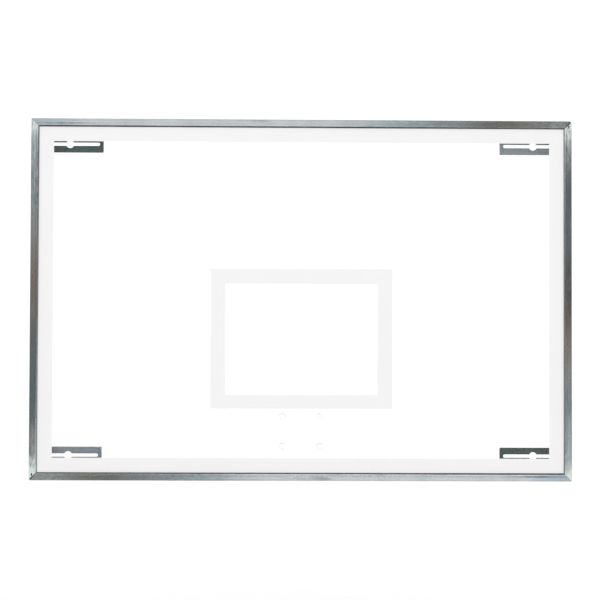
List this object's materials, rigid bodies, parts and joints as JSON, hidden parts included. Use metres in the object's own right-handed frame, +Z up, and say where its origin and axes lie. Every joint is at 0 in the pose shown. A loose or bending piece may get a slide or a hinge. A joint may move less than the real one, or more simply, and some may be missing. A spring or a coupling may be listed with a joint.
{
  "type": "basketball backboard",
  "caption": "Rectangular glass basketball backboard in a mitred aluminium frame, with white border and shooter's target, hung on slotted corner brackets.",
  "frame": {"origin": "centre of the four bracket slots, on the rear face of the bracket plates", "axes": "+X to the right as seen from the court, +Y away from the court, towards what the board hangs on, +Z up"},
  "size_m": [1.8288, 0.056, 1.2192],
  "materials": {
    "frame_aluminium": "mill-finish extrusion with lengthwise drawing lines",
    "key_aluminium": "cast, as sawn",
    "tempered_glass": "clear tempered glass with a faint green edge",
    "white_print": "white ceramic ink fired on the glass",
    "gasket_rubber": "extruded rubber",
    "bracket_steel": "zinc-plated sheet steel",
    "fastener_zinc": "bright zinc plate",
    "sleeve_nylon": "natural nylon"
  },
  "bodies": {
    "root": {"top_rail": "frame_aluminium", "top_gasket": "gasket_rubber", "bottom_rail": "frame_aluminium", "bottom_gasket": "gasket_rubber", "left_rail": "frame_aluminium", "left_gasket": "gasket_rubber", "right_rail": "frame_aluminium", "right_gasket": "gasket_rubber", "top_left_corner_key": "key_aluminium", "top_left_alignment_key": "key_aluminium", "top_left_bracket": "bracket_steel", "top_left_bracket_bolts": "fastener_zinc", "top_left_bracket_washers": "fastener_zinc", "top_right_corner_key": "key_aluminium", "top_right_alignment_key": "key_aluminium", "top_right_bracket": "bracket_steel", "top_right_bracket_bolts": "fastener_zinc", "top_right_bracket_washers": "fastener_zinc", "bottom_left_corner_key": "key_aluminium", "bottom_left_alignment_key": "key_aluminium", "bottom_left_bracket": "bracket_steel", "bottom_left_bracket_bolts": "fastener_zinc", "bottom_left_bracket_washers": "fastener_zinc", "bottom_right_corner_key": "key_aluminium", "bottom_right_alignment_key": "key_aluminium", "bottom_right_bracket": "bracket_steel", "bottom_right_bracket_bolts": "fastener_zinc", "bottom_right_bracket_washers": "fastener_zinc", "glass_pane": "tempered_glass", "border_print": "white_print", "target_print": "white_print", "hoop_bolt_sleeves": "sleeve_nylon"}
  },
  "joints": []
}
